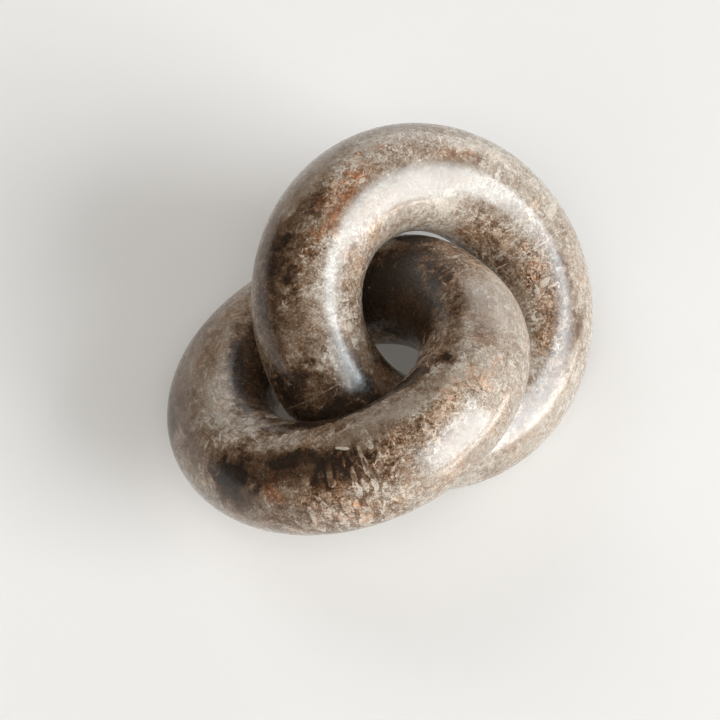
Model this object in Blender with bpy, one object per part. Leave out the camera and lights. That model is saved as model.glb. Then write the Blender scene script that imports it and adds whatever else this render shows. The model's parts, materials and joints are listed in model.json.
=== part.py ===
"""Marble chain sculpture: two heavy stone links, looped through each other and resting on a table.

The origin is on the table, under the middle of the sculpture. +X runs along the line of centres from
the whole link to the split link, and +Z is up. Both links are tilted about that line, in opposite
senses, until the stone of one leans on the stone of the other. The split link has its +Y side raised,
and the whole link its -Y side.
"""
import math

import bmesh
import bpy
import numpy as np
from mathutils import Vector

# Driving dimensions, in metres
LINK_RADIUS = 0.049        # from the centre of a link to the middle of its stone
STONE_RADIUS = 0.0205      # half the thickness of the round stone
LEAN_GAP = 0.0003          # clearance where the links lean on each other
SLIDE_APART = 0.0030       # slack between the links along their line of centres
SAW_OFFSET = 0.0025        # from the centre of the split link to the saw cut, on its lower side
RESIN_THICKNESS = 0.0004   # film of resin in the saw cut
BOND_GAP = 0.0003          # clearance between the resin and the sawn stone
SAW_TURN = math.radians(-8.6)  # direction of the saw cut, from the line of centres

# Facets round a link, and round its stone
LINK_FACETS = 72
STONE_FACETS = 30

# What follows from them
CENTRE_DISTANCE = 2 * STONE_RADIUS + LEAN_GAP + SLIDE_APART
LEAN_DISTANCE = 2 * STONE_RADIUS + LEAN_GAP
SAW_ALONG = Vector((math.cos(SAW_TURN), math.sin(SAW_TURN), 0.0))
SAW_NORMAL = Vector((-math.sin(SAW_TURN), math.cos(SAW_TURN), 0.0))

WHOLE_MARBLE = {"colour": (0.235, 0.195, 0.165), "roughness": 0.12}
SPLIT_MARBLE = {"colour": (0.205, 0.170, 0.145), "roughness": 0.12}
STONE_RESIN = {"colour": (0.620, 0.560, 0.470), "roughness": 0.22}


def clear_scene():
    """Remove whatever the file opened with."""
    for thing in list(bpy.data.objects):
        bpy.data.objects.remove(thing, do_unlink=True)


def make_collection(name):
    """A collection of that name, linked to the scene."""
    collection = bpy.data.collections.new(name)
    bpy.context.scene.collection.children.link(collection)
    return collection


def centreline(side, tilt, count=720):
    """Points along the middle of a link's stone. side is +1 for the split link, -1 for the whole one."""
    turn = np.linspace(0.0, 2 * math.pi, count, endpoint=False)
    along = side * CENTRE_DISTANCE / 2 + LINK_RADIUS * np.cos(turn)
    across = LINK_RADIUS * math.cos(tilt) * np.sin(turn)
    height = side * LINK_RADIUS * math.sin(tilt) * np.sin(turn)
    return np.stack([along, across, height], axis=1)


def closest_distance(tilt):
    """Least distance between the two centrelines when both links tilt by this angle."""
    split = centreline(+1, tilt)
    whole = centreline(-1, tilt)
    steps = split[:, None, :] - whole[None, :, :]
    return float(np.sqrt((steps ** 2).sum(axis=2).min()))


def resting_tilt():
    """The flattest tilt at which the stone of the links still clears, found by halving an interval."""
    flat = 0.0
    steep = math.pi / 4
    for _ in range(30):
        middle = (flat + steep) / 2
        if closest_distance(middle) < LEAN_DISTANCE:
            flat = middle
        else:
            steep = middle
    return steep


def new_ring():
    """A link as a ring in its own XY plane, with a facet edge square across its lowest point."""
    bpy.ops.mesh.primitive_torus_add(
        major_radius=LINK_RADIUS, minor_radius=STONE_RADIUS,
        major_segments=LINK_FACETS, minor_segments=STONE_FACETS)
    primitive = bpy.context.active_object
    ring = bmesh.new()
    ring.from_mesh(primitive.data)
    half_facet = math.pi / LINK_FACETS
    for vertex in ring.verts:
        x, y, z = vertex.co
        vertex.co.x = x * math.cos(half_facet) - y * math.sin(half_facet)
        vertex.co.y = x * math.sin(half_facet) + y * math.cos(half_facet)
    mesh = primitive.data
    bpy.data.objects.remove(primitive, do_unlink=True)
    bpy.data.meshes.remove(mesh)
    return ring


def keep_side(ring, point, normal):
    """Saw the ring through a plane, keep what the normal points to, and close the sawn ends."""
    everything = ring.verts[:] + ring.edges[:] + ring.faces[:]
    bmesh.ops.bisect_plane(ring, geom=everything, dist=1e-7, plane_co=point, plane_no=normal,
                           clear_inner=True)
    sawn_edges = [edge for edge in ring.edges if edge.is_boundary]
    bmesh.ops.holes_fill(ring, edges=sawn_edges, sides=0)


def saw_plane(shift):
    """A point on the plane parallel to the middle of the saw cut, shifted along the cut's normal."""
    return SAW_NORMAL * (shift - SAW_OFFSET)


def split_half(side):
    """The stone on one side of the saw cut: +1 for the raised half, -1 for the half on the table."""
    ring = new_ring()
    keep_side(ring, saw_plane(side * (RESIN_THICKNESS / 2 + BOND_GAP)), SAW_NORMAL * side)
    return ring


def resin_film(side):
    """The resin in the cut: +1 at the free end of the split link, -1 inside the whole link."""
    ring = new_ring()
    keep_side(ring, saw_plane(+RESIN_THICKNESS / 2), -SAW_NORMAL)
    keep_side(ring, saw_plane(-RESIN_THICKNESS / 2), SAW_NORMAL)
    keep_side(ring, Vector(), SAW_ALONG * side)
    return ring


def make_material(name, look):
    """A Principled material of one colour and roughness."""
    material = bpy.data.materials.new(name)
    material.use_nodes = True
    shader = material.node_tree.nodes["Principled BSDF"]
    shader.inputs["Base Color"].default_value = (*look["colour"], 1.0)
    shader.inputs["Roughness"].default_value = look["roughness"]
    shader.inputs["Metallic"].default_value = 0.0
    return material


def add_piece(name, solid, look, collection, pivot, side, tilt):
    """Turn a solid into a named object, hung on a pivot and tilted about the line of centres."""
    bmesh.ops.recalc_face_normals(solid, faces=solid.faces[:])
    mesh = bpy.data.meshes.new(name)
    solid.to_mesh(mesh)
    solid.free()
    mesh.shade_smooth()
    mesh.set_sharp_from_angle(angle=math.radians(35))
    mesh.materials.append(make_material(name, look))
    piece = bpy.data.objects.new(name, mesh)
    piece.parent = pivot
    piece.location = (side * CENTRE_DISTANCE / 2, 0.0, 0.0)
    piece.rotation_euler = (side * tilt, 0.0, 0.0)
    collection.objects.link(piece)
    return piece


def add_pivot(name, collection, height):
    """An empty on the line of centres, which is the axis that the links fold about."""
    pivot = bpy.data.objects.new(name, None)
    pivot.empty_display_size = LINK_RADIUS
    pivot.location = (0.0, 0.0, height)
    collection.objects.link(pivot)
    return pivot


def build():
    """Both links in their resting pose, with the lowest stone of each on the table."""
    clear_scene()
    collection = make_collection("marble_chain_sculpture")
    tilt = resting_tilt()
    height = STONE_RADIUS + LINK_RADIUS * math.sin(tilt)
    whole_pivot = add_pivot("whole_link_pivot", collection, height)
    split_pivot = add_pivot("split_link_pivot", collection, height)

    add_piece("whole_link", new_ring(), WHOLE_MARBLE, collection, whole_pivot, -1, tilt)
    add_piece("split_link_upper_half", split_half(+1), SPLIT_MARBLE, collection, split_pivot, +1, tilt)
    add_piece("split_link_lower_half", split_half(-1), SPLIT_MARBLE, collection, split_pivot, +1, tilt)
    add_piece("outer_resin_joint", resin_film(+1), STONE_RESIN, collection, split_pivot, +1, tilt)
    add_piece("inner_resin_joint", resin_film(-1), STONE_RESIN, collection, split_pivot, +1, tilt)

    free_fold = 180.0 - 4 * math.degrees(tilt)
    print(f"each link tilts {math.degrees(tilt):.3f} degrees about the line of centres")
    print(f"line of centres at height {height * 1000:.3f} mm, free fold {free_fold:.2f} degrees")
    print(f"centres {CENTRE_DISTANCE * 1000:.1f} mm apart, hole {2 * (LINK_RADIUS - STONE_RADIUS) * 1000:.1f} mm")


build()
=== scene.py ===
# %% [markdown]
# # Two marble links, dressed over their measured solids
#
# The object is a short chain of two thick rings, cut from a brown fossil marble and polished.
# One ring is whole. The other was sawn straight across, slipped through the first one and bonded
# with stone resin, which leaves two thin pale seams.
#
# The measured solids are loaded first. They fix every size and place. This script makes what the
# eye sees: the ground and polished stone, its seams and pits, and the light of a studio.

import json
import math

import bmesh
import bpy
from mathutils import Matrix, Quaternion, Vector


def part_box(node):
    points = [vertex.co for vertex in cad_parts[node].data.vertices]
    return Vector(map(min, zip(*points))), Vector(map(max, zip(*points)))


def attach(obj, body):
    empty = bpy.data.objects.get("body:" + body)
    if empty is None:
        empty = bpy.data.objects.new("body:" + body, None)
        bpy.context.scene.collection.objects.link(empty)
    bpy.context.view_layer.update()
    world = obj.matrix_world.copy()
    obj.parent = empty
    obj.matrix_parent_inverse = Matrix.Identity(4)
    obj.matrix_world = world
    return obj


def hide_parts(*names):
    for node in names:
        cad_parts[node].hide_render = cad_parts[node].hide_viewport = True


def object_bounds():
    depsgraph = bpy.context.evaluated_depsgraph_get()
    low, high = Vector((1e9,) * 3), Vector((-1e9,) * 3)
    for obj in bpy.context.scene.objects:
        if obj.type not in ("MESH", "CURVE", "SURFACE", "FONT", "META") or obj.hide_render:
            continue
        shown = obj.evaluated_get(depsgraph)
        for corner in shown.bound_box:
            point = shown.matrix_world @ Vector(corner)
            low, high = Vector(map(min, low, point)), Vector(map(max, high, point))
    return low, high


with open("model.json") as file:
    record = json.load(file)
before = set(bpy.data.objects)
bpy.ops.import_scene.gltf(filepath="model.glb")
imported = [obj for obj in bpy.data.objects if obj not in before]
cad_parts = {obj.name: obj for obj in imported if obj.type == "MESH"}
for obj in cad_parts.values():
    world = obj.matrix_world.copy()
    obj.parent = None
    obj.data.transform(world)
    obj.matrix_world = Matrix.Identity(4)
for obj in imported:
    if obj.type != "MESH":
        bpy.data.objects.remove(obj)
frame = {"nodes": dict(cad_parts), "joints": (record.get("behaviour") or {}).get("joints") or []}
solid_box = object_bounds()
print("solids:", ", ".join(sorted(frame["nodes"])))

# %% [markdown]
# ## Sizes that everything else follows
#
# A link is a torus. Its stone is 41 mm thick, and the rest is read from the solids. The outside
# of the whole link gives the radius of both, the hinge gives the height of the line of centres,
# and that height gives the tilt at which a link's lowest stone touches the table. The links tilt
# to opposite sides. A link's side, +1 for the split one and -1 for the whole one, therefore sets
# both the place of its centre along X and the sense of its tilt.

# %% Sizes of the links
STONE_RADIUS = 0.0205
SPLIT = +1
WHOLE = -1

whole_low, whole_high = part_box("whole_link")
LINK_RADIUS = (whole_high.x - whole_low.x) / 2 - STONE_RADIUS
CENTRE_DISTANCE = (solid_box[1].x - solid_box[0].x) - (whole_high.x - whole_low.x)
CENTRE_HEIGHT = frame["joints"][0]["pos_m"][2]
TILT = math.asin((CENTRE_HEIGHT - STONE_RADIUS) / LINK_RADIUS)


def link_centre(side):
    """The middle of a link's hole."""
    return Vector((side * CENTRE_DISTANCE / 2, 0.0, CENTRE_HEIGHT))


def link_place(side):
    """The matrix that lays a link from its own XY plane into its place in the sculpture."""
    return Matrix.Translation(link_centre(side)) @ Matrix.Rotation(side * TILT, 4, "X")


print(f"link radius {LINK_RADIUS * 1000:.1f} mm, tilt {math.degrees(TILT):.1f} degrees, "
      f"centres {CENTRE_DISTANCE * 1000:.1f} mm apart at {CENTRE_HEIGHT * 1000:.1f} mm")

# %% [markdown]
# ## The camera
#
# The photograph looks down on the chain from 61 degrees above the table. The lens is long, 140 mm
# on a 36 mm wide sensor about a metre away, so that parallel edges hardly converge, and the camera
# is turned a little about its own axis.

# %% Set the camera
VIEW_AZIMUTH = math.radians(-55.8)
VIEW_ELEVATION = math.radians(61.47)
VIEW_ROLL = math.radians(8.44)
VIEW_DISTANCE = 1.036
VIEW_AIM = Vector((-0.0121, 0.0025, CENTRE_HEIGHT))
LENS_MM = 139.9
SENSOR_MM = 36.0

camera_data = bpy.data.cameras.new("camera")
camera_data.lens = LENS_MM
camera_data.sensor_width = SENSOR_MM
camera = bpy.data.objects.new("camera", camera_data)
bpy.context.scene.collection.objects.link(camera)
bpy.context.scene.camera = camera

level = math.cos(VIEW_ELEVATION)
to_camera = Vector((math.sin(VIEW_AZIMUTH) * level, -math.cos(VIEW_AZIMUTH) * level,
                    math.sin(VIEW_ELEVATION)))
camera.location = VIEW_AIM + to_camera * VIEW_DISTANCE
facing = (-to_camera).to_track_quat("-Z", "Y") @ Quaternion((0.0, 0.0, 1.0), VIEW_ROLL)
camera.rotation_euler = facing.to_euler()
print("camera at", [round(v, 3) for v in camera.location])

# %% [markdown]
# ## Helpers for node trees
#
# Shader trees and geometry trees are filled in the same way: a node is added, its options are
# set, and each of its inputs gets a plain value or another node's output. One helper does that
# for both. Another makes a node group, with its inputs and outputs declared on its interface.

# %% Node helpers
FLOAT = "NodeSocketFloat"
VECTOR = "NodeSocketVector"


def node(tree, kind, inputs=None, **options):
    """Add a node, set its options, and feed its inputs with values or other nodes' outputs."""
    made = tree.nodes.new(kind)
    for name, value in options.items():
        setattr(made, name, value)
    for name, value in (inputs or {}).items():
        if isinstance(value, bpy.types.NodeSocket):
            tree.links.new(value, made.inputs[name])
        else:
            made.inputs[name].default_value = value
    return made


def maths(tree, operation, *values):
    """The result of a sum on one, two or three numbers."""
    return node(tree, "ShaderNodeMath", dict(enumerate(values)), operation=operation).outputs[0]


def vectors(tree, operation, *values):
    """The vector that comes of a sum on vectors."""
    return node(tree, "ShaderNodeVectorMath", dict(enumerate(values)), operation=operation).outputs[0]


def stretched(tree, vector, factor):
    """A vector times a number."""
    return node(tree, "ShaderNodeVectorMath", {0: vector, "Scale": factor},
                operation="SCALE").outputs[0]


def length_of(tree, vector):
    """The length of a vector."""
    return node(tree, "ShaderNodeVectorMath", {0: vector}, operation="LENGTH").outputs["Value"]


def step(tree, value, start, end, low=0.0, high=1.0):
    """Take a value from one range to another along a smooth step."""
    return node(tree, "ShaderNodeMapRange",
                {"Value": value, "From Min": start, "From Max": end, "To Min": low, "To Max": high},
                interpolation_type="SMOOTHSTEP").outputs["Result"]


def noise(tree, place, seed, grain, detail=2.0, roughness=0.5, distortion=0.0):
    """A noise whose lumps are about a grain wide. The fourth coordinate is the seed."""
    return node(tree, "ShaderNodeTexNoise",
                {"Vector": place, "W": seed, "Scale": maths(tree, "DIVIDE", 1.0, grain),
                 "Detail": detail, "Roughness": roughness, "Distortion": distortion},
                noise_dimensions="4D")


def new_group(name, inputs, outputs, kind="ShaderNodeTree"):
    """A node group with named inputs and outputs: the group, what it is given and what it gives."""
    group = bpy.data.node_groups.new(name, kind)
    for label, socket_type, value in inputs:
        socket = group.interface.new_socket(label, in_out="INPUT", socket_type=socket_type)
        if value is not None:
            socket.default_value = value
    for label, socket_type in outputs:
        group.interface.new_socket(label, in_out="OUTPUT", socket_type=socket_type)
    given = group.nodes.new("NodeGroupInput").outputs
    gives = group.nodes.new("NodeGroupOutput").inputs
    return group, given, gives


def use(tree, group, **inputs):
    """Place a node group in a tree, and give its outputs. A _ stands for a space in a name."""
    named = {name.replace("_", " "): value for name, value in inputs.items()}
    return node(tree, group.bl_idname.replace("NodeTree", "NodeGroup"), named, node_tree=group).outputs


# %% [markdown]
# ## The studio
#
# A large softbox stands low on the right, and throws the soft shadow to the left. The rest is
# soft: a high lamp over the softbox, a fill beside the camera that reaches the table through the
# holes, and weaker ones to the left and behind. A pale wall stands at the far right. All of them
# are six metres away, so that the light hardly falls off across the table.
#
# The polish shows only the softbox and the wall, so the other lamps aren't mirrored in it. A
# second lamp in the softbox's place is seen by the polish alone, because the real highlights are
# nearly white. So are a small lamp at its upper corner and a low pale board close to the chain,
# which widen the highlights at the top and draw them down past the level, and a faint lamp over
# the wall.

# %% Lamps
LAMP_DISTANCE = 6.0
BOARD_DISTANCE = 0.36
WHITE = (1.0, 1.0, 1.0)
SHEEN = (0.81, 0.945, 1.0)
BOARD = (1.0, 0.93, 0.84)
WARM = (1.0, 0.965, 0.90)
WALL = (1.0, 0.96, 0.92)
MILD = (1.0, 0.97, 0.94)
FAINT = (1.0, 0.98, 0.96)


def add_lamp(name, azimuth, elevation, half_width, half_height, radiance, colour,
             mirrored=False, lights_surfaces=True, distance=LAMP_DISTANCE):
    """A rectangular lamp that faces the chain. Angles are in degrees, azimuth from +X to +Y."""
    turn = math.radians(azimuth)
    rise = math.radians(elevation)
    lamp = bpy.data.lights.new(name, "AREA")
    lamp.shape = "RECTANGLE"
    lamp.size = 2 * distance * math.tan(math.radians(half_width))
    lamp.size_y = 2 * distance * math.tan(math.radians(half_height))
    lamp.energy = radiance * math.pi * lamp.size * lamp.size_y
    lamp.color = colour
    panel = bpy.data.objects.new(name, lamp)
    bpy.context.scene.collection.objects.link(panel)
    toward = Vector((math.cos(turn) * math.cos(rise), math.sin(turn) * math.cos(rise),
                     math.sin(rise)))
    panel.location = Vector((0.0, 0.0, CENTRE_HEIGHT)) + toward * distance
    panel.rotation_euler = toward.to_track_quat("Z", "Y").to_euler()
    panel.visible_camera = False
    panel.visible_glossy = mirrored
    panel.visible_diffuse = lights_surfaces
    print(f"{name}: {lamp.energy:.0f} W")
    return panel


add_lamp("softbox", -72, 22, 20, 22, 7.4, WHITE, mirrored=True)
add_lamp("softbox_sheen", -76.5, 26, 21.5, 29, 8.1, SHEEN, mirrored=True, lights_surfaces=False)
add_lamp("softbox_corner", -46, 49, 8, 8.5, 8.5, SHEEN, mirrored=True, lights_surfaces=False)
add_lamp("low_board", -72, -4, 26, 3.2, 12.0, BOARD, mirrored=True, lights_surfaces=False,
         distance=BOARD_DISTANCE)
add_lamp("high_lamp", -75, 55, 20, 12, 0.95, WHITE)
add_lamp("camera_fill", -146, 62, 15, 15, 3.0, WARM)
add_lamp("left_fill", 180, 45, 18, 18, 1.6, MILD)
add_lamp("back_fill", 90, 45, 18, 18, 1.65, FAINT)
add_lamp("far_wall", 20, 15, 30, 13, 1.6, WALL, mirrored=True)
add_lamp("wall_sheen", 0, 24, 40, 24, 0.9, WHITE, mirrored=True, lights_surfaces=False)

# %% Room and table
ROOM_COLOUR = (1.0, 0.97, 0.93)
ROOM_STRENGTH = 0.04
TABLE_SIZE = 12.0
TABLE_COLOUR = (0.80, 0.80, 0.795)

world = bpy.data.worlds.new("room")
bpy.context.scene.world = world
world.use_nodes = True
room = world.node_tree.nodes["Background"]
room.inputs["Color"].default_value = (*ROOM_COLOUR, 1.0)
room.inputs["Strength"].default_value = ROOM_STRENGTH

bpy.ops.mesh.primitive_plane_add(size=TABLE_SIZE)
table = bpy.context.active_object
table.name = "table"
table_paint = bpy.data.materials.new("pale_table")
table_paint.use_nodes = True
table_shader = table_paint.node_tree.nodes["Principled BSDF"]
table_shader.inputs["Base Color"].default_value = (*TABLE_COLOUR, 1.0)
table_shader.inputs["Roughness"].default_value = 0.9
table_shader.inputs["Specular IOR Level"].default_value = 0.2
table.data.materials.append(table_paint)
bpy.context.scene.view_settings.view_transform = "Standard"

# %% [markdown]
# ## The ground link, as a geometry tree
#
# A link's shape follows a rule: a round stone swept along a circle. A tree of Geometry Nodes makes
# it from its sizes, and then does to it what a grinder's hands do. The surface wavers by a few
# tenths of a millimetre, and inwards, so that a link doesn't grow past its measured solid. Small
# pits stay open where soft shell fell out. A pit's depth is also stored as an attribute, which the
# material reads to darken the pit. One broad swell may stand out: the whole link is a little
# fuller where it passes through the other one, well inside the sculpture's outline.

# %% Build the geometry tree
RING_STEPS = 480
WRAP_STEPS = 180


def link_tree():
    """The tree that makes one ground link in its place."""
    inputs = [("Link Radius", FLOAT, 0.05), ("Stone Radius", FLOAT, 0.02),
              ("Ring Steps", "NodeSocketInt", 64), ("Wrap Steps", "NodeSocketInt", 24),
              ("Waver", FLOAT, 0.0003), ("Waver Length", FLOAT, 0.03),
              ("Pit Depth", FLOAT, 0.0005), ("Pit Radius", FLOAT, 0.001), ("Pit Spacing", FLOAT, 0.02),
              ("Swell At", VECTOR, None), ("Swell Reach", FLOAT, 0.02), ("Swell", FLOAT, 0.0),
              ("Seed", FLOAT, 0.0), ("Centre", VECTOR, None), ("Tilt", "NodeSocketRotation", None),
              ("Marble", "NodeSocketMaterial", None)]
    tree, given, gives = new_group("ground_link", inputs, [("Link", "NodeSocketGeometry")],
                                   kind="GeometryNodeTree")
    ring = node(tree, "GeometryNodeCurvePrimitiveCircle",
                {"Resolution": given["Ring Steps"], "Radius": given["Link Radius"]})
    wrap = node(tree, "GeometryNodeCurvePrimitiveCircle",
                {"Resolution": given["Wrap Steps"], "Radius": given["Stone Radius"]})
    swept = node(tree, "GeometryNodeCurveToMesh",
                 {"Curve": ring.outputs[0], "Profile Curve": wrap.outputs[0]})

    here = tree.nodes.new("GeometryNodeInputPosition").outputs[0]
    outward = tree.nodes.new("GeometryNodeInputNormal").outputs[0]
    waver = noise(tree, here, given["Seed"], given["Waver Length"]).outputs[0]
    sunk = maths(tree, "MULTIPLY", maths(tree, "SUBTRACT", 1.0, waver), given["Waver"])

    cells = node(tree, "ShaderNodeTexVoronoi",
                 {"Vector": here, "W": given["Seed"],
                  "Scale": maths(tree, "DIVIDE", 1.0, given["Pit Spacing"])}, voronoi_dimensions="4D")
    off_pit = length_of(tree, vectors(tree, "SUBTRACT", here, cells.outputs["Position"]))
    hollow = step(tree, off_pit, given["Pit Radius"], 0.0)
    inward = maths(tree, "MULTIPLY_ADD", hollow, given["Pit Depth"], sunk)
    off_swell = length_of(tree, vectors(tree, "SUBTRACT", here, given["Swell At"]))
    swollen = step(tree, off_swell, given["Swell Reach"], 0.0)
    inward = maths(tree, "SUBTRACT", inward, maths(tree, "MULTIPLY", swollen, given["Swell"]))
    moved = node(tree, "GeometryNodeSetPosition",
                 {"Geometry": swept.outputs[0],
                  "Offset": stretched(tree, outward, maths(tree, "MULTIPLY", inward, -1.0))})
    marked = node(tree, "GeometryNodeStoreNamedAttribute",
                  {"Geometry": moved.outputs[0], "Name": "pit", "Value": hollow},
                  data_type="FLOAT", domain="POINT")
    placed = node(tree, "GeometryNodeTransform",
                  {"Geometry": marked.outputs[0], "Translation": given["Centre"],
                   "Rotation": given["Tilt"]})
    smooth = node(tree, "GeometryNodeSetShadeSmooth", {"Geometry": placed.outputs[0]})
    real = node(tree, "GeometryNodeRealizeInstances", {"Geometry": smooth.outputs[0]})
    dressed = node(tree, "GeometryNodeSetMaterial",
                   {"Geometry": real.outputs[0], "Material": given["Marble"]})
    tree.links.new(dressed.outputs[0], gives["Link"])
    return tree


ground_link = link_tree()
print("tree", ground_link.name, "with", len(ground_link.nodes), "nodes")

# %% [markdown]
# ## Shader group: ragged place
#
# Nothing in stone has a clean outline. Before a fragment is drawn, the point being shaded is
# pushed about by a noise, and whatever is drawn at the pushed place comes out torn.

# %% Build the ragged place group
ragged, given, gives = new_group(
    "ragged_place", [("Place", VECTOR, None), ("Push", FLOAT, 0.002), ("Grain", FLOAT, 0.006),
                     ("Seed", FLOAT, 0.0)], [("Place", VECTOR)])
wobble = noise(ragged, given["Place"], given["Seed"], given["Grain"])
centred = vectors(ragged, "SUBTRACT", wobble.outputs["Color"], (0.5, 0.5, 0.5))
ragged.links.new(vectors(ragged, "ADD", given["Place"], stretched(ragged, centred, given["Push"])),
                 gives["Place"])

# %% [markdown]
# ## Shader group: cloud
#
# Mottling, from broad zones of colour down to a peppering of grains, is a noise cut at a level.
# The share says how much of the stone the cloud covers, and the softness how gently it fades. The
# lean raises or lowers the noise from place to place, so that a zone thickens where the real stone
# has it, and keeps its torn outline.

# %% Build the cloud group
NOISE_SPREAD = 0.45

cloud, given, gives = new_group(
    "cloud", [("Place", VECTOR, None), ("Grain", FLOAT, 0.01), ("Detail", FLOAT, 4.0),
              ("Share", FLOAT, 0.5), ("Softness", FLOAT, 0.08), ("Lean", FLOAT, 0.0),
              ("Seed", FLOAT, 0.0)], [("Mask", FLOAT)])
puff = noise(cloud, given["Place"], given["Seed"], given["Grain"], given["Detail"], 0.68, 0.4)
cut_level = maths(cloud, "MULTIPLY_ADD", maths(cloud, "SUBTRACT", 0.5, given["Share"]),
                  NOISE_SPREAD, 0.5)
raised = maths(cloud, "ADD", puff.outputs[0], given["Lean"])
cloud.links.new(step(cloud, raised, maths(cloud, "SUBTRACT", cut_level, given["Softness"]),
                     maths(cloud, "ADD", cut_level, given["Softness"])), gives["Mask"])

# %% [markdown]
# ## Shader group: drawn out
#
# Some of the stone's layers run round the link or across it, so its flecks are drawn out there.
# This group gives the place in the link's own ring coordinates, stretched along the link and
# across it. The ring angle goes in as a point of a circle, because an angle would jump once a
# turn and leave a seam. That leaves four coordinates, three in the vector and one beside it.

# %% Build the drawn out group
drawn_out, given, gives = new_group(
    "drawn_out", [("Place", VECTOR, None), ("Along", FLOAT, 0.002), ("Across", FLOAT, 0.008)],
    [("Place", VECTOR), ("Fourth", FLOAT)])
where = node(drawn_out, "ShaderNodeSeparateXYZ", {0: given["Place"]}).outputs
flat_place = node(drawn_out, "ShaderNodeCombineXYZ", {"X": where["X"], "Y": where["Y"]}).outputs[0]
from_axis = length_of(drawn_out, flat_place)
turn_scale = maths(drawn_out, "DIVIDE", LINK_RADIUS,
                   maths(drawn_out, "MULTIPLY", from_axis, given["Along"]))
outward = maths(drawn_out, "DIVIDE", maths(drawn_out, "SUBTRACT", from_axis, LINK_RADIUS),
                given["Across"])
beyond = node(drawn_out, "ShaderNodeCombineXYZ", {"Z": outward}).outputs[0]
drawn_out.links.new(vectors(drawn_out, "ADD", stretched(drawn_out, flat_place, turn_scale), beyond),
                    gives["Place"])
drawn_out.links.new(maths(drawn_out, "DIVIDE", where["Z"], given["Across"]), gives["Fourth"])

# %% [markdown]
# ## Shader group: slivers of shell
#
# The pale flecks are broken shells, seen cut through: short curved strokes, each turned its own
# way. Space is divided into cells, and each cell gets one shell, which is a thin piece of a round
# wall, turned at random by the cell's own colour. The polished surface cuts those walls wherever
# it lies, as the saw did. A wall met square gives a thin stroke, one met flat a blob.

# %% Build the sliver group
slivers, given, gives = new_group(
    "shell_slivers", [("Place", VECTOR, None), ("Cell", FLOAT, 0.004), ("Share", FLOAT, 0.5),
                      ("Wall", FLOAT, 0.0003), ("Bend", FLOAT, 0.003), ("Reach", FLOAT, 0.55)],
    [("Mask", FLOAT), ("Tone", FLOAT)])
cells = node(slivers, "ShaderNodeTexVoronoi",
             {"Vector": given["Place"], "Scale": maths(slivers, "DIVIDE", 1.0, given["Cell"])})
inside = vectors(slivers, "SUBTRACT", given["Place"], cells.outputs["Position"])
turned = node(slivers, "ShaderNodeVectorRotate",
              {"Vector": inside,
               "Rotation": stretched(slivers, cells.outputs["Color"], 2 * math.pi)},
              rotation_type="EULER_XYZ").outputs[0]
parts = node(slivers, "ShaderNodeSeparateXYZ", {0: turned}).outputs
beside = node(slivers, "ShaderNodeCombineXYZ",
              {"X": maths(slivers, "ADD", parts["X"], given["Bend"]), "Y": parts["Y"]}).outputs[0]
off_wall = maths(slivers, "ABSOLUTE",
                 maths(slivers, "SUBTRACT", length_of(slivers, beside), given["Bend"]))
on_wall = step(slivers, off_wall, given["Wall"], maths(slivers, "MULTIPLY", given["Wall"], 0.3))
reach = maths(slivers, "MULTIPLY", given["Cell"], given["Reach"])
within = step(slivers, length_of(slivers, inside), reach, maths(slivers, "MULTIPLY", reach, 0.7))
draw = node(slivers, "ShaderNodeSeparateColor", {0: cells.outputs["Color"]}).outputs
chosen = maths(slivers, "LESS_THAN", draw["Red"], given["Share"])
drawn = maths(slivers, "MULTIPLY", maths(slivers, "MULTIPLY", on_wall, within), chosen)
slivers.links.new(drawn, gives["Mask"])
slivers.links.new(draw["Green"], gives["Tone"])

# %% [markdown]
# ## Shader group: threads
#
# Fine curled lines, pale or rusty, run where mud dried, cracked and was filled. A thread is the
# line along which a noise crosses its middle value. A second, coarser noise breaks it up.

# %% Build the thread group
threads, given, gives = new_group(
    "threads", [("Place", VECTOR, None), ("Grain", FLOAT, 0.006), ("Width", FLOAT, 0.015),
                ("Share", FLOAT, 0.5), ("Lean", FLOAT, 0.0), ("Seed", FLOAT, 0.0)],
    [("Mask", FLOAT)])
curl = noise(threads, given["Place"], given["Seed"], given["Grain"], 2.0, 0.5, 1.0)
off_line = maths(threads, "ABSOLUTE", maths(threads, "SUBTRACT", curl.outputs[0], 0.5))
on_line = step(threads, off_line, given["Width"], 0.0)
kept = use(threads, cloud, Place=given["Place"], Grain=given["Grain"], Detail=2.0,
           Share=given["Share"], Softness=0.05, Lean=given["Lean"],
           Seed=maths(threads, "ADD", given["Seed"], 7.0))["Mask"]
threads.links.new(maths(threads, "MULTIPLY", on_line, kept), gives["Mask"])

# %% [markdown]
# ## Shader group: patch
#
# Where the real stone shows a zone or a fragment in one particular place, or where shade or a
# highlight is painted on it, an ellipsoid marks it.
# Its centre lies on the surface, its three axes run along the link, round the stone and into it,
# and a noise that the whole link shares tears its edge. Each axis comes as a vector as long as one
# over the half size, so a dot product measures the way from the centre in half sizes. The patch
# is solid, like the rest of the stone, and therefore has no seam.

# %% Build the patch group
patch, given, gives = new_group(
    "patch", [("Place", VECTOR, None), ("Centre", VECTOR, None), ("Along", VECTOR, None),
              ("Round", VECTOR, None), ("Out", VECTOR, None), ("Wobble", FLOAT, 0.0),
              ("Edge", FLOAT, 0.3)], [("Mask", FLOAT)])
from_centre = vectors(patch, "SUBTRACT", given["Place"], given["Centre"])
measured = {}
for letter, side_name in (("X", "Along"), ("Y", "Round"), ("Z", "Out")):
    measured[letter] = node(patch, "ShaderNodeVectorMath", {0: from_centre, 1: given[side_name]},
                            operation="DOT_PRODUCT").outputs["Value"]
in_patch = node(patch, "ShaderNodeCombineXYZ", measured).outputs[0]
off_patch = maths(patch, "ADD", length_of(patch, in_patch), given["Wobble"])
patch.links.new(step(patch, off_patch, maths(patch, "ADD", 1.0, given["Edge"]),
                     maths(patch, "SUBTRACT", 1.0, given["Edge"])), gives["Mask"])


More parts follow.
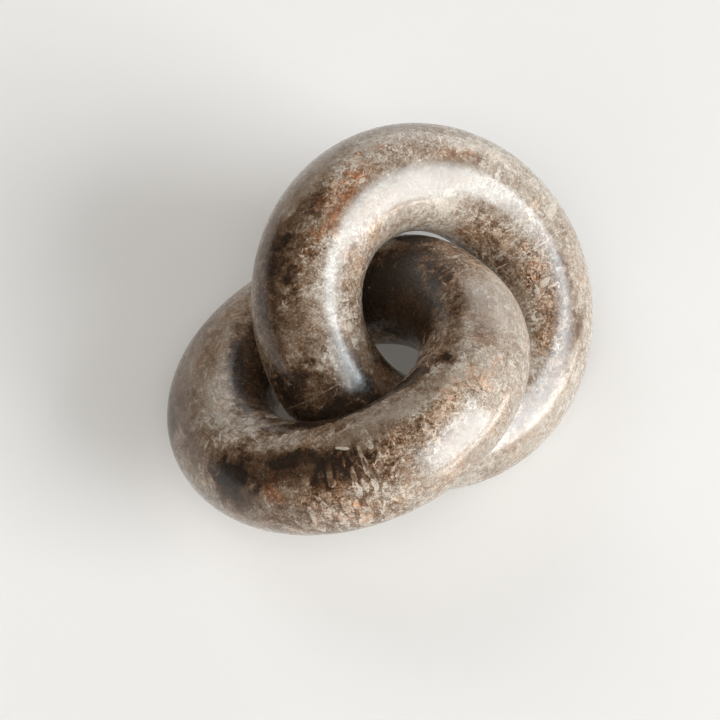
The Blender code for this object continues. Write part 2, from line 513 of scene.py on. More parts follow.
def patch_frame(ring_degrees, wrap_degrees, turn_degrees=0.0):
    """Where a patch lies on a link, and its axes: along the link, round the stone, out of it."""
    ring = math.radians(ring_degrees)
    wrap = math.radians(wrap_degrees)
    out = Vector((math.cos(wrap) * math.cos(ring), math.cos(wrap) * math.sin(ring), math.sin(wrap)))
    along = Vector((-math.sin(ring), math.cos(ring), 0.0))
    centre = Vector((math.cos(ring), math.sin(ring), 0.0)) * LINK_RADIUS + out * STONE_RADIUS
    turn = Matrix.Rotation(math.radians(turn_degrees), 3, out)
    return centre, turn @ along, turn @ out.cross(along), out


print("shader groups:", ", ".join(g.name for g in bpy.data.node_groups if g.type == "SHADER"))

# %% [markdown]
# ## The stone's colours
#
# The marble is hardened mud full of broken shell. What it holds sets how dark it is, and the
# darker it is the browner it is. So all its layers are added up as tone, in stops: 0 is a plain
# beige, each step down halves the light. One scale of colours then turns tone into colour.
# Some of the tone stands for light: the marks that darken the stone where it lies in shade are painted
# shade, and the few that lighten it under the highlight are painted highlight.

# %% Scale of colours by tone
# The steps from -1 to -3 are a little browner than the stone alone: painted warm light, bounced
# between the links in shade.
TONE_COLOURS = {
    -5: (0.011, 0.008, 0.006),
    -4: (0.027, 0.017, 0.011),
    -3: (0.064, 0.035, 0.018),
    -2: (0.129, 0.079, 0.046),
    -1: (0.225, 0.164, 0.114),
    0: (0.362, 0.311, 0.257),
    1: (0.560, 0.513, 0.448),
}
WARM_TINT = (1.12, 0.88, 0.70)
RUST_TINT = (1.16, 0.76, 0.56)
CREAM = (0.520, 0.465, 0.390)
RESIN = (0.460, 0.420, 0.365)
DUST = (0.12, 0.09, 0.065)


def tone_to_colour(tree, tone):
    """The stone's colour at a tone in stops."""
    darkest = min(TONE_COLOURS)
    span = max(TONE_COLOURS) - darkest
    scale = node(tree, "ShaderNodeValToRGB",
                 {0: maths(tree, "MULTIPLY_ADD", tone, 1 / span, -darkest / span)})
    elements = scale.color_ramp.elements
    for stop, colour in TONE_COLOURS.items():
        along = (stop - darkest) / span
        element = elements.new(along) if 0 < along < 1 else elements[-1 if along else 0]
        element.color = (*colour, 1.0)
    return scale.outputs[0]


def tint(tree, share, under, over, mode="MIX"):
    """Lay one colour over another by a share. A colour is three numbers or a node's output."""
    made = tree.nodes.new("ShaderNodeMix")
    made.data_type = "RGBA"
    made.blend_type = mode
    for slot, value in ((0, share), (6, under), (7, over)):
        if isinstance(value, bpy.types.NodeSocket):
            tree.links.new(value, made.inputs[slot])
        elif slot == 0:
            made.inputs[slot].default_value = value
        else:
            made.inputs[slot].default_value = (*value, 1.0)
    return made.outputs[2]


# %% [markdown]
# ## Where each link has its zones
#
# A mark says where a zone lies, in the way a mason would: the angle along the link, the angle
# round the stone, its length and width in millimetres, how it is turned, and its strength.
# Round the stone, 0 is the outer side, 90 the upper side and 180 the side of the hole.
# Most marks are zones of the stone. The tone marks noted at each list are painted shade or painted
# highlight.

# %% Marks of the split link
SPLIT_MARKS = {
    "tone": [(140, 8, 80, 20, 0, -1.3), (148, 32, 60, 20, 0, -0.9), (114, 38, 34, 7, -22, -1.1),
             # (178, 20), (186, 45), (180, 90), (188, 110), (170, 148) and (172, 18) darken the end
             # that lies inside the whole link: painted shade over dark stone. (170, 93) is painted
             # shade where the whole link hides the softbox's reflection.
             (128, 50, 22, 20, 0, -1.3), (178, 20, 36, 40, 0, -2.8), (186, 45, 20, 40, 0, -1.0),
             (180, 90, 24, 44, 0, -0.9), (150, 60, 34, 12, 0, -0.5), (108, 64, 50, 13, 0, -0.4),
             (70, 64, 50, 12, 0, -0.35), (8, 156, 24, 12, 0, -1.1), (-15, 142, 16, 10, 0, -0.6),
             # (0, 85) and (174, 46) lighten the stone where the real highlight falls: painted
             # highlight. (30, 106), (-75, 91), (-42, 94) and (-20, 93) darken it under parts of the
             # highlight where the real reflection is dimmer: painted shade. (75, 104) darkens it under
             # the brightest part of the highlight, so that the reflection there reads flat and white.
             (75, 104, 70, 15, 0, -1.0), (-80, 76, 60, 8, 0, -0.5), (170, 148, 26, 14, 0, -1.0),
             (-46, 108, 24, 9, 0, -0.4), (112, 48, 40, 10, 0, -0.9), (170, 93, 34, 9, 0, -1.9),
             (168, 66, 30, 20, 0, 0.2), (-60, 42, 120, 22, 0, 0.2), (10, 50, 60, 14, 0, 0.25),
             (35, 72, 3.5, 7, 0, -0.9), (-34, 122, 6, 3, 0, -1.3), (60, 126, 100, 10, 0, 0.3),
             (-50, 82, 40, 6, 0, -0.3), (40, 58, 60, 8, 0, 0.2), (-20, 93, 60, 8, 0, -0.6),
             (118, 17, 60, 14, 0, -0.7), (30, 106, 40, 18, 0, -0.6), (-8, 138, 30, 10, 0, -0.4),
             (143, 30, 14, 20, 0, -0.5), (-75, 91, 60, 9, 0, -1.1), (188, 110, 16, 40, 0, -0.8),
             (125, 103, 24, 8, 0, -0.6), (90, 54, 24, 7, 0, 0.5), (174, 46, 10, 14, 0, 0.8),
             (-30, 122, 50, 26, 0, -0.5), (157, 66, 12, 8, 0, -0.9), (186, 62, 10, 16, 0, 0.9),
             (-75, 91, 70, 8, 0, -0.2), (172, 18, 20, 10, 0, -0.5), (160, 128, 20, 12, 0, -0.5),
             (82, 78, 30, 7, 0, -0.4), (-42, 94, 40, 9, 0, -0.8), (0, 85, 16, 8, 0, 0.6)],
    "calm": [(100, 14, 62, 17, 0, 0.9), (72, 104, 74, 15, 0, 0.9), (60, 22, 40, 10, 0, 0.6),
             (-85, 40, 70, 16, 0, 0.5), (-20, 42, 60, 12, 0, 0.5), (-70, 76, 60, 8, 0, 0.5)],
    "speckled": [(110, 68, 56, 12, 0, 0.9), (50, 73, 60, 5, 0, 0.7), (-40, 112, 60, 14, 6, 0.9),
                 (-2, 142, 34, 18, 8, 0.8), (120, 124, 70, 14, 0, 0.8), (-90, 92, 50, 8, 0, 0.5)],
    "petals": [(30, 134, 18, 14, 0, 0.5), (152, 112, 30, 12, 0, 0.4)],
    "combed": [(-50, 38, 120, 18, 0, 0.6), (40, 40, 60, 14, 0, 0.5), (30, 134, 16, 12, 0, 0.6)],
    "rusty": [(88, 66, 3.5, 9, 20, 0.9), (104, 75, 34, 2.5, -4, 0.6), (38, 68, 2, 8, -10, 0.5),
              (75, 48, 16, 4, -14, 0.5), (30, 140, 3, 16, 20, 0.5), (-30, 113, 5, 5, 0, 0.4),
              (110, 66, 50, 12, 0, 0.45), (-2, 142, 30, 14, 0, 0.35), (-40, 110, 50, 12, 0, 0.35)],
    "cream": [(46, 132, 8, 13, 0, 0.9), (-3, 60, 3.6, 14, 8, 0.7), (-30, 110, 5.5, 2.6, -50, 0.9),
              (-34, 121, 6.5, 2.4, 0, 0.7), (-5, 148, 5, 6, 0, 0.4), (153, 112, 7, 3, -30, 0.6),
              (88, 73, 3, 1.6, 0, 0.8)],
}

# %% Marks of the whole link
WHOLE_MARKS = {
    # Round the side of the hole, from about 100 degrees on, the dark marks (128, 146), (142, 126),
    # (354, 148), (305, 112), (238, 127), (206, 124), (225, 102), (189, 114), (217, 126), (262, 102),
    # (222, 126), (367, 104) and (361, 103) are mostly painted shade, where the links shade each other,
    # over somewhat darker stone. On the flank turned from the softbox, (143, 25), (150, 44), (130,
    # 68), (100, 58), (172, 56), (184, 52), (187, 52) and (188, 32) are partly painted shade, partly
    # darker stone.
    "tone": [(208, 57, 70, 13, 0, -1.9), (188, 32, 20, 18, 0, -1.8), (224, 50, 20, 10, 30, -1.2),
             (172, 56, 28, 14, 0, -0.7), (128, 146, 70, 20, 0, -3.0), (142, 126, 50, 6, 0, -1.0),
             (354, 148, 60, 30, 0, -3.2), (305, 112, 60, 18, 0, -1.5), (285, 84, 22, 12, 0, 0.5),
             (300, 138, 20, 12, 0, 0.5), (238, 127, 70, 9, 0, -3.4), (206, 124, 30, 10, 0, -0.9),
             (376, 86, 26, 46, 0, -1.6), (355, 94, 30, 16, 0, -1.7), (382, 80, 14, 8, 0, 1.0),
             (371, 55, 20, 14, 0, -2.8), (100, 58, 60, 20, 0, -0.4), (130, 68, 60, 24, 0, -0.8),
             (150, 44, 50, 22, 0, -0.6), (143, 25, 22, 16, 0, -1.5), (207, 24, 26, 26, 0, -0.6),
             (184, 52, 16, 14, 0, -0.8), (240, 62, 40, 9, 0, -0.7), (232, 78, 40, 7, 0, -0.5),
             (326, 32, 46, 34, 0, 0.5), (276, 50, 40, 16, 0, 0.4), (337, 19, 16, 18, 0, 0.8),
             (198, 99, 22, 10, 0, 0.5), (170, 118, 26, 22, 0, 0.8), (150, 92, 100, 9, 0, 0.3),
             (225, 102, 26, 7, 0, -0.8), (292, 0, 50, 26, 0, 0.2), (189, 114, 8, 10, 0, -1.4),
             (217, 126, 20, 8, 0, -1.4), (262, 102, 14, 7, 0, -0.7), (305, 127, 40, 10, 0, 0.8),
             (367, 104, 16, 12, 0, -0.7), (355, 80, 18, 10, 0, -0.6), (361, 103, 12, 8, 0, -0.5),
             (383, 70, 12, 14, 0, 1.0), (278, 98, 10, 10, 0, 0.9), (231, 54, 8, 6, 0, 0.6),
             (312, 40, 24, 22, 0, -0.45), (222, 126, 24, 8, 0, -1.0), (266, 20, 20, 9, 0, -0.7),
             (187, 52, 14, 22, 0, -1.0), (212, 40, 20, 5, 0, 0.6), (322, 68, 50, 12, 0, -0.7),
             (203, 26, 8, 8, 0, 0.4), (203, 37, 4, 9, 0, 0.3), (232, 42, 10, 8, 0, -0.5),
             (214, 66, 30, 6, 0, -1.2), (196, 18, 30, 14, 0, -0.4)],
    "calm": [(250, 82, 120, 7, 0, 0.9), (150, 94, 60, 6, 8, 0.6), (320, 40, 26, 26, 0, 0.7),
             (268, -16, 20, 12, 0, 0.5), (205, 58, 50, 12, 0, 0.3), (352, 146, 60, 26, 0, 0.5),
             (266, 20, 22, 9, 0, 0.6), (188, 32, 20, 18, 0, 0.3), (130, 60, 110, 50, 0, 0.7)],
    "speckled": [(262, 48, 60, 16, 0, 0.9), (212, 0, 40, 22, 0, 0.5), (350, 66, 34, 24, 0, 0.8),
                 (300, 108, 60, 9, 0, 0.7), (230, 10, 40, 40, 0, 0.5)],
    "petals": [(228, 12, 40, 46, 0, 1.0), (234, 50, 26, 18, 0, 0.6)],
    "combed": [(140, 60, 100, 50, 0, 0.7), (196, 84, 50, 10, 0, 0.7), (320, 30, 36, 40, 0, 0.6),
               (290, -10, 40, 26, 0, 0.5)],
    "rusty": [(203, 26, 9, 8, 0, 0.9), (203, 37, 5, 10, 0, 0.9), (208, 62, 2.2, 12, 0, 0.6),
              (290, 36, 18, 6, 0, 0.35), (272, 52, 40, 14, 0, 0.3), (226, -6, 18, 10, 0, 0.35),
              (136, 62, 4, 1.2, 0, 0.6), (226, 14, 30, 40, 0, 0.3), (352, 60, 26, 24, 0, 0.3)],
    "cream": [(229, 68, 5, 1.4, -20, 0.8), (246, 54, 4, 2, 0, 0.4), (330, 60, 4, 5, 0, 0.4),
              (262, -16, 5, 4, 0, 0.5), (277, 90, 4, 3, 0, 0.5)],
}
print("marks:", sum(len(v) for v in SPLIT_MARKS.values()), "on the split link,",
      sum(len(v) for v in WHOLE_MARKS.values()), "on the whole one")

# %% [markdown]
# ## The marble
#
# Each marble is laid up as the stone was, from the broad to the fine: mud, clouds, broken
# fragments, shells, grain, slivers, threads. It reads Object coordinates, turned by one Mapping
# node into the link's own plane, so that it is one solid block of stone that a fold carries
# along. Every layer needs the same few things, so a block keeps them together: the tree, the
# place in the stone, the seed, how strongly each kind of mark holds there, and how busy that
# makes the stone. The marks, a torn edge on each of them included, come first.

# %% Take up a block of stone
MARK_DEPTH = 0.016
HALF_MILLIMETRES = 2000  # in a metre


class Block:
    """The stone of one link, while its marble is laid up in a material's tree."""

    def __init__(self, tree, side, marks, seed):
        self.tree = tree
        self.seed = seed
        at = node(tree, "ShaderNodeTexCoord").outputs["Object"]
        self.place = node(tree, "ShaderNodeMapping",
                          {"Vector": at, "Location": link_centre(side),
                           "Rotation": (side * TILT, 0.0, 0.0)}, vector_type="TEXTURE").outputs[0]
        torn = noise(tree, self.place, seed, 0.0045, 4.0, 0.65).outputs[0]
        wobble = self.times(self.about_zero(torn), 2.4)
        self.lean = {kind: self.leaning(spots, wobble) for kind, spots in marks.items()
                     if kind != "tone"}
        # The tone marks include painted shade and painted highlight.
        self.lean["tone"] = self.leaning(marks["tone"], self.times(wobble, 0.6))
        less = self.times(self.lean["calm"], -0.55)
        more = self.times(self.lean["speckled"], 0.45)
        self.busy = maths(tree, "MAXIMUM", self.plus(0.75, less, more), 0.15)

    def leaning(self, marks, wobble):
        """How strongly the marks of one kind hold at a place. Their sizes are in millimetres."""
        total = None
        for ring_angle, wrap_angle, length, width, turn, strength in marks:
            centre, along, round_stone, out = patch_frame(ring_angle, wrap_angle, turn)
            inside = use(self.tree, patch, Place=self.place, Centre=centre,
                         Along=along * HALF_MILLIMETRES / length,
                         Round=round_stone * HALF_MILLIMETRES / width,
                         Out=out / MARK_DEPTH, Wobble=wobble)["Mask"]
            part = self.times(inside, strength)
            total = part if total is None else self.plus(total, part)
        return total

    def times(self, *values):
        """The product of several values."""
        total = values[0]
        for value in values[1:]:
            total = maths(self.tree, "MULTIPLY", total, value)
        return total

    def plus(self, *values):
        """The sum of several values."""
        total = values[0]
        for value in values[1:]:
            total = maths(self.tree, "ADD", total, value)
        return total

    def about_zero(self, value):
        """A noise or a draw between 0 and 1, moved so that its middle is 0."""
        return maths(self.tree, "SUBTRACT", value, 0.5)

    def mask(self, grain, share, softness, detail=4.0, lean_by=0.0, shift=0.0):
        """Where a cloud lies in the stone. A shift of the seed makes it a cloud of its own."""
        return use(self.tree, cloud, Place=self.place, Grain=grain, Share=share, Softness=softness,
                   Detail=detail, Lean=lean_by, Seed=self.seed + shift)["Mask"]

    def mottle(self, grain, stops, detail=3.0, roughness=0.6, shift=0.0):
        """A noise that lightens and darkens the stone by a number of stops."""
        shade = noise(self.tree, self.place, self.seed + shift, grain, detail, roughness, 0.3)
        return self.times(self.about_zero(shade.outputs[0]), stops)

    def tear(self, push, grain, shift=0.0, place=None):
        """The place in the stone, pushed about so that what is drawn there comes out torn."""
        return use(self.tree, ragged, Place=self.place if place is None else place, Push=push,
                   Grain=grain, Seed=self.seed + shift)["Place"]

    def draw(self, place, size):
        """A random number for each cell of stone of a size."""
        cells = node(self.tree, "ShaderNodeTexVoronoi", {"Vector": place, "Scale": 1 / size})
        return node(self.tree, "ShaderNodeSeparateColor",
                    {0: cells.outputs["Color"]}).outputs["Red"]


# %% [markdown]
# ### Mud and clouds
#
# The mud sets the ground tone. It is the sum of the marks, a slow noise and a quicker one that is
# strongest where the stone is busy. Two clouds lie over it: blots, which gather where the marks
# already make the stone dark, and a brown one, which gathers where the stone is speckled.
# Through the marks, the ground tone also carries painted shade and painted highlight.

# %% Lay the mud
def lay_mud(block, base_tone):
    """The ground tone, and the brown cloud, which the pepper follows later."""
    lean, busy = block.lean, block.busy
    tone = block.plus(lean["tone"], base_tone, block.mottle(0.020, 1.5, 2.0, shift=1),
                      block.times(block.mottle(0.005, 1.7, 5.0, 0.72, shift=2), busy))
    blots = block.mask(0.0036, 0.15, 0.04, 7.0, lean_by=block.times(lean["tone"], -0.02), shift=3)
    brown = block.mask(0.0030, 0.30, 0.05, 7.0, lean_by=block.times(lean["speckled"], 0.05),
                       shift=4)
    return block.plus(tone, block.times(blots, busy, -0.8), block.times(brown, busy, -0.55)), brown


# %% [markdown]
# ### Fragments and strands
#
# The stone crumbled before it set hard. Small cells with torn edges stand for the crumbs, each with
# a random tone. Where the real stone looks combed, strands are drawn out along the link.

# %% Lay the fragments and the strands
CHIP_SIZE = 0.0018


def lay_chips(block, tone):
    """Fragments of all tones."""
    chip = block.draw(block.tear(0.0012, 0.0014), CHIP_SIZE)
    return block.plus(tone, block.times(block.about_zero(chip), block.busy, 1.3))


def lay_strands(block, tone):
    """Fine pale and dark strands that run along the link."""
    combed = use(block.tree, drawn_out, Place=block.tear(0.003, 0.006, shift=5), Along=0.0045,
                 Across=0.0008)
    strand = noise(block.tree, combed["Place"], combed["Fourth"], 1.0, 2.0, 0.6).outputs[0]
    stroke = block.plus(step(block.tree, strand, 0.55, 0.66),
                        step(block.tree, strand, 0.30, 0.45, -0.5, 0.0))
    return block.plus(tone, block.times(stroke, block.plus(block.lean["combed"], 0.1), 1.1))


# %% [markdown]
# ### Leaf shaped shells
#
# Low on the whole link lies a cluster of shells that look like feathers or leaves, side by side
# across the link. Cells drawn out across it make their outlines, which a push bends and tears. Each
# has a random tone, a paler rim and a fine feathering, and the mud between them is dark. A few are
# strewn through the rest of the stone.

# %% Lay the leaf shaped shells
def lay_leaves(block, tone):
    """The cluster of leaf shaped shells, and the few that are strewn elsewhere."""
    tree = block.tree
    torn_leaf = block.tear(0.0010, 0.0022, place=block.tear(0.006, 0.014, shift=6))
    leafy = use(tree, drawn_out, Place=torn_leaf, Along=0.0021, Across=0.0085)
    leaf = node(tree, "ShaderNodeTexVoronoi",
                {"Vector": leafy["Place"], "W": leafy["Fourth"], "Scale": 1.0},
                voronoi_dimensions="4D").outputs
    leaf_draw = node(tree, "ShaderNodeSeparateColor", {0: leaf["Color"]}).outputs["Red"]
    inside_leaf = step(tree, leaf["Distance"], 0.64, 0.56)
    rim = block.times(inside_leaf, step(tree, leaf["Distance"], 0.46, 0.54))
    fine = use(tree, drawn_out, Place=torn_leaf, Along=0.0006, Across=0.0050)
    feather = noise(tree, fine["Place"], fine["Fourth"], 1.0, 2.0, 0.6).outputs[0]
    leaf_tone = block.plus(block.times(leaf_draw, 1.4),
                           block.times(block.about_zero(feather), 3.0), 0.2)
    petals = block.plus(block.times(inside_leaf, leaf_tone), block.times(rim, 0.3), -0.7)
    strewn = block.times(block.mask(0.012, 0.35, 0.06, shift=22), block.busy, 0.7)
    return block.plus(tone, block.times(petals, block.plus(block.lean["petals"], strewn)))


# %% [markdown]
# ### Grain and pepper
#
# Seen close, the mud is a mass of fine grains, and calm stone has only the faintest of them. The
# pepper is dark and gathers in brown and speckled places. The crumbs are pale and keep away from
# them. The grain and the pepper are kept, because the polish and the relief follow them too.

# %% Lay the grain and the pepper
SAND_SIZE = 0.0005


def lay_grain(block, tone):
    """The fine grain of the mud."""
    sand = block.draw(block.place, SAND_SIZE)
    grain = block.plus(block.mottle(0.0009, 4.2, 2.0, 0.8, shift=7),
                       block.times(block.about_zero(sand), 1.2))
    showing = maths(block.tree, "MULTIPLY_ADD", block.busy, 0.9, 0.15)
    return block.plus(tone, block.times(grain, showing)), grain


def lay_pepper(block, tone, brown):
    """Dark pepper, and pale crumbs."""
    peppery = block.plus(block.times(brown, 0.05), block.times(block.lean["speckled"], 0.04))
    pepper = block.mask(0.0008, 0.15, 0.012, 2.0, lean_by=peppery, shift=8)
    crumbs = block.mask(0.0007, 0.12, 0.012, 2.0, lean_by=block.times(brown, -0.02), shift=9)
    tone = block.plus(tone, block.times(pepper, block.busy, -1.6),
                      block.times(crumbs, block.busy, 1.2))
    return tone, pepper


# %% [markdown]
# ### Slivers, threads and pits
#
# Last come the sharpest things: slivers of shell in two sizes, which gather in rich places and
# differ in tone, then a long and a short kind of thread. The pits are darkened where the geometry
# tree sank them. The tone has a soft floor, so that the deepest layers don't turn black.

# %% Lay the slivers and the threads, and darken the pits
SHELL_SIZES = [  # cell, wall, bend and push in metres, stops, shift of the seed
    (0.0046, 0.00036, 0.0030, 0.0022, 1.7, 10),
    (0.0028, 0.00023, 0.0018, 0.0014, 1.5, 12),
]
DARKEST_TONE = -4.3


def lay_slivers(block, tone):
    """Broken shells, seen cut through."""
    for cell, wall, bend, push, stops, shift in SHELL_SIZES:
        bent = block.tear(push, cell, shift=shift)
        shell = use(block.tree, slivers, Place=bent, Cell=cell, Wall=wall, Bend=bend, Share=0.6,
                    Reach=0.6)
        rich = block.mask(0.010, 0.5, 0.12, 3.0, shift=shift + 1)
        tone = block.plus(tone, block.times(shell["Mask"], rich, shell["Tone"], block.busy,
                                            1.6 * stops))
    return tone


def lay_threads(block, tone):
    """Long threads and short curls, thickest where the stone is speckled."""
    curly = block.times(block.lean["speckled"], 0.06)
    thread = use(block.tree, threads, Place=block.place, Grain=0.007, Width=0.016, Share=0.36,
                 Lean=curly, Seed=block.seed + 14)["Mask"]
    curl = use(block.tree, threads, Place=block.place, Grain=0.0034, Width=0.026, Share=0.30,
               Lean=curly, Seed=block.seed + 20)["Mask"]
    return block.plus(tone, block.times(thread, block.plus(block.busy, 0.2), 1.1),
                      block.times(curl, block.plus(block.busy, 0.1), 0.9))


def darken_pits(block, tone):
    """Darker stone in the open pits, and the floor under the whole scale of tones."""
    pit = node(block.tree, "ShaderNodeAttribute", attribute_name="pit").outputs["Fac"]
    darker_in_pits = block.plus(tone, block.times(pit, -1.5))
    return maths(block.tree, "SMOOTH_MAX", darker_in_pits, DARKEST_TONE, 0.6)


# %% [markdown]
# ### Colour and polish
#
# The tone becomes a colour, and three things that tone alone can't say are added: places of warmer
# stone, rust, and cream fragments. The polish isn't even, since softer mud takes it less well than
# shell does, and the grain stands out by a few hundredths of a millimetre.

# %% Colour the stone and polish it
def colour_stone(block, tone, grain, warmth):
    """The stone's colour. The warmth is the share of the stone that is warmer."""
    tree, lean = block.tree, block.lean
    colour = tone_to_colour(tree, tone)
    warm = block.mask(0.009, warmth, 0.12, 5.0, lean_by=block.times(lean["speckled"], 0.12),
                      shift=18)
    colour = tint(tree, block.times(warm, 0.7), colour, WARM_TINT, "MULTIPLY")
    rusty = block.mask(0.0022, 0.10, 0.09, 5.0, lean_by=block.times(lean["rusty"], 0.22), shift=16)
    colour = tint(tree, block.times(rusty, 0.85), colour, RUST_TINT, "MULTIPLY")
    cream = block.mask(0.0045, 0.012, 0.08, 4.0, lean_by=block.times(lean["cream"], 0.40),
                       shift=15)
    cream_colour = stretched(tree, CREAM, maths(tree, "MULTIPLY_ADD", grain, 0.25, 1.0))
    return tint(tree, block.times(cream, 0.85), colour, cream_colour)


def polish_stone(block, shader, grain, pepper):
    """An uneven polish over a fine relief."""
    tree = block.tree
    dull = noise(tree, block.place, block.seed + 17, 0.0025, 4.0, 0.7).outputs[0]
    polish = block.plus(step(tree, dull, 0.35, 0.65, 0.13, 0.32), block.times(pepper, 0.10))
    tree.links.new(polish, shader.inputs["Roughness"])
    shader.inputs["IOR"].default_value = 1.48
    shader.inputs["Coat Weight"].default_value = 0.1
    shader.inputs["Coat Roughness"].default_value = 0.08
    relief = maths(tree, "SUBTRACT", grain, block.times(pepper, 0.5))
    bump = node(tree, "ShaderNodeBump", {"Height": relief, "Strength": 0.4, "Distance": 0.00003})
    tree.links.new(bump.outputs[0], shader.inputs["Normal"])


# %% [markdown]
# ### Both marbles
#
# The two links come from two blocks. The whole one is darker, and a little warmer.

# %% Build the marbles
def marble(name, side, marks, base_tone, warmth, seed):
    """The polished fossil marble of one link."""
    material = bpy.data.materials.new(name)
    material.use_nodes = True
    shader = material.node_tree.nodes["Principled BSDF"]
    block = Block(material.node_tree, side, marks, seed)
    tone, brown = lay_mud(block, base_tone)
    tone = lay_strands(block, lay_chips(block, tone))
    tone, grain = lay_grain(block, lay_leaves(block, tone))
    tone, pepper = lay_pepper(block, tone, brown)
    tone = lay_threads(block, lay_slivers(block, tone))
    colour = colour_stone(block, darken_pits(block, tone), grain, warmth)
    material.node_tree.links.new(colour, shader.inputs["Base Color"])
    polish_stone(block, shader, grain, pepper)
    return material


whole_marble = marble("whole_link_marble", WHOLE, WHOLE_MARKS, -0.50, 0.30, 3.0)
split_marble = marble("split_link_marble", SPLIT, SPLIT_MARKS, -0.15, 0.25, 40.0)
print("marble nodes:", len(split_marble.node_tree.nodes), len(whole_marble.node_tree.nodes))

# %% [markdown]
# ## The two links
#
# The tree makes each link in its place. Its modifier is given the sizes by the sockets' own
# identifiers, the result is taken as a plain mesh, and the modifier is dropped.

# %% Make the links
SWELL_AT = patch_frame(8, 50)[0]
SWELL = 0.0017


def grow_link(name, side, finish, seed, swell):
    """A ground link as a plain mesh object, already in its place."""
    seedling = bpy.data.objects.new(name + "_seedling", bpy.data.meshes.new(name + "_seedling"))
    bpy.context.scene.collection.objects.link(seedling)
    modifier = seedling.modifiers.new("ground_link", "NODES")
    modifier.node_group = ground_link
    sizes = {"Link Radius": LINK_RADIUS, "Stone Radius": STONE_RADIUS, "Ring Steps": RING_STEPS,
             "Wrap Steps": WRAP_STEPS, "Waver": 0.0003, "Waver Length": 0.030,
             "Pit Depth": 0.0005, "Pit Radius": 0.0009, "Pit Spacing": 0.022, "Seed": seed,
             "Swell At": SWELL_AT, "Swell Reach": 0.030, "Swell": swell,
             "Centre": link_centre(side), "Tilt": (side * TILT, 0.0, 0.0), "Marble": finish}
    for item in ground_link.interface.items_tree:
        if item.in_out == "INPUT":
            modifier[item.identifier] = sizes[item.name]
    evaluated = seedling.evaluated_get(bpy.context.evaluated_depsgraph_get())
    mesh = bpy.data.meshes.new_from_object(evaluated)
    mesh.name = name
    link = bpy.data.objects.new(name, mesh)
    bpy.context.scene.collection.objects.link(link)
    bpy.data.objects.remove(seedling, do_unlink=True)
    return link


whole_stone = grow_link("whole_link_stone", WHOLE, whole_marble, 1.0, SWELL)
split_stone = grow_link("split_link_stone", SPLIT, split_marble, 2.0, 0.0)
print("faces per link:", len(whole_stone.data.polygons))

# %% [markdown]
# ## The saw cut and its resin
#
# The saw went through the split link once, a little off its middle and slightly askew. A copy of
# the link is cut by a plane for each half, and twice for the resin that fills the kerf, so that
# all of them share one ground surface.

# %% Cut the halves and the resin
SAW_TURN = math.radians(-8.6)
SAW_OFFSET = 0.0025
RESIN_WIDTH = 0.0004
SAW_ALONG = Vector((math.cos(SAW_TURN), math.sin(SAW_TURN), 0.0))
SAW_NORMAL = Vector((-math.sin(SAW_TURN), math.cos(SAW_TURN), 0.0))


def sawn_copy(source, name, cuts):
    """A copy of a link, cut by planes in the link's own frame. A cut is a point and a normal."""
    place = link_place(SPLIT)
    stone = bmesh.new()
    stone.from_mesh(source.data)
    for point, normal in cuts:
        everything = stone.verts[:] + stone.edges[:] + stone.faces[:]
        bmesh.ops.bisect_plane(stone, geom=everything, dist=1e-7, plane_co=place @ point,
                               plane_no=place.to_3x3() @ normal, clear_inner=True)
        open_edges = [edge for edge in stone.edges if edge.is_boundary]
        filled = bmesh.ops.holes_fill(stone, edges=open_edges, sides=0)
        for face in filled["faces"]:
            face.smooth = False
        bmesh.ops.triangulate(stone, faces=filled["faces"])
    bmesh.ops.recalc_face_normals(stone, faces=stone.faces[:])
    mesh = bpy.data.meshes.new(name)
    stone.to_mesh(mesh)
    stone.free()
    for material in source.data.materials:
        mesh.materials.append(material)
    mesh.set_sharp_from_angle(angle=math.radians(50))
    piece = bpy.data.objects.new(name, mesh)
    bpy.context.scene.collection.objects.link(piece)
    return piece


def saw_face(shift):
    """A point on the plane parallel to the middle of the cut."""
    return SAW_NORMAL * (shift - SAW_OFFSET)


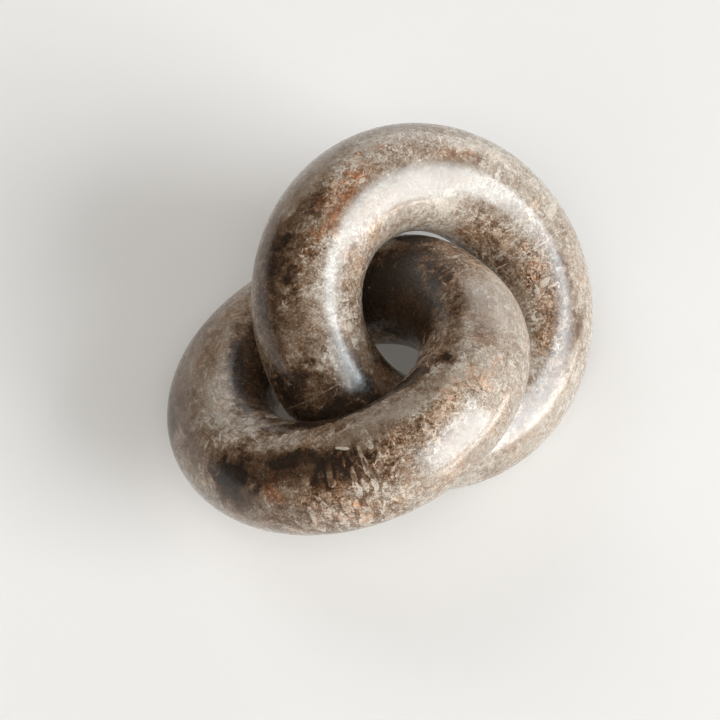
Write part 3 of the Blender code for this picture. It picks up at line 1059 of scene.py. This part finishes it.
edge = RESIN_WIDTH / 2
upper_stone = sawn_copy(split_stone, "split_link_upper_stone", [(saw_face(+edge), SAW_NORMAL)])
lower_stone = sawn_copy(split_stone, "split_link_lower_stone", [(saw_face(-edge), -SAW_NORMAL)])
film = [(saw_face(+edge), -SAW_NORMAL), (saw_face(-edge), SAW_NORMAL)]
outer_resin = sawn_copy(split_stone, "outer_resin", film + [(Vector(), SAW_ALONG)])
inner_resin = sawn_copy(split_stone, "inner_resin", film + [(Vector(), -SAW_ALONG)])
bpy.data.objects.remove(split_stone, do_unlink=True)
for piece in (upper_stone, lower_stone, outer_resin, inner_resin):
    print(piece.name, len(piece.data.polygons), "faces")

# %% [markdown]
# ## The resin
#
# Stone resin is cloudy and cream coloured. It was ground with the stone and has taken up dust in
# patches. The patches are thicker towards the middle of the chain.

# %% Build the resin
stone_resin = bpy.data.materials.new("stone_resin")
stone_resin.use_nodes = True
resin_tree = stone_resin.node_tree
resin_shader = resin_tree.nodes["Principled BSDF"]
resin_at = node(resin_tree, "ShaderNodeTexCoord").outputs["Object"]
along_x = node(resin_tree, "ShaderNodeSeparateXYZ", {0: resin_at}).outputs["X"]
# The dark patches grow thicker towards the middle of the chain.
towards_middle = step(resin_tree, along_x, 0.0, 0.04, 0.14, 0.0)
dusty = use(resin_tree, cloud, Place=resin_at, Grain=0.0022, Share=0.45, Softness=0.06, Lean=towards_middle,
            Seed=5.0)["Mask"]
resin_colour = tint(resin_tree, dusty, RESIN, DUST)
resin_tree.links.new(resin_colour, resin_shader.inputs["Base Color"])
resin_shader.inputs["Roughness"].default_value = 0.3
for piece in (outer_resin, inner_resin):
    piece.data.materials.clear()
    piece.data.materials.append(stone_resin)

# %% [markdown]
# ## Join the dressed pieces to the measured ones
#
# Each piece takes the place of its solid and moves with that solid's body.

# %% Hand the pieces over
PIECES = [(whole_stone, "whole_link", "whole_link", "whole_link_marble"),
          (upper_stone, "split_link", "split_link_upper_half", "split_link_marble"),
          (lower_stone, "split_link", "split_link_lower_half", "split_link_marble"),
          (outer_resin, "split_link", "outer_resin_joint", "stone_resin"),
          (inner_resin, "split_link", "inner_resin_joint", "stone_resin")]
for piece, body, solid, finish in PIECES:
    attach(piece, body)
    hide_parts(solid)

print("solids ", [[round(v * 1000, 2) for v in corner] for corner in solid_box])
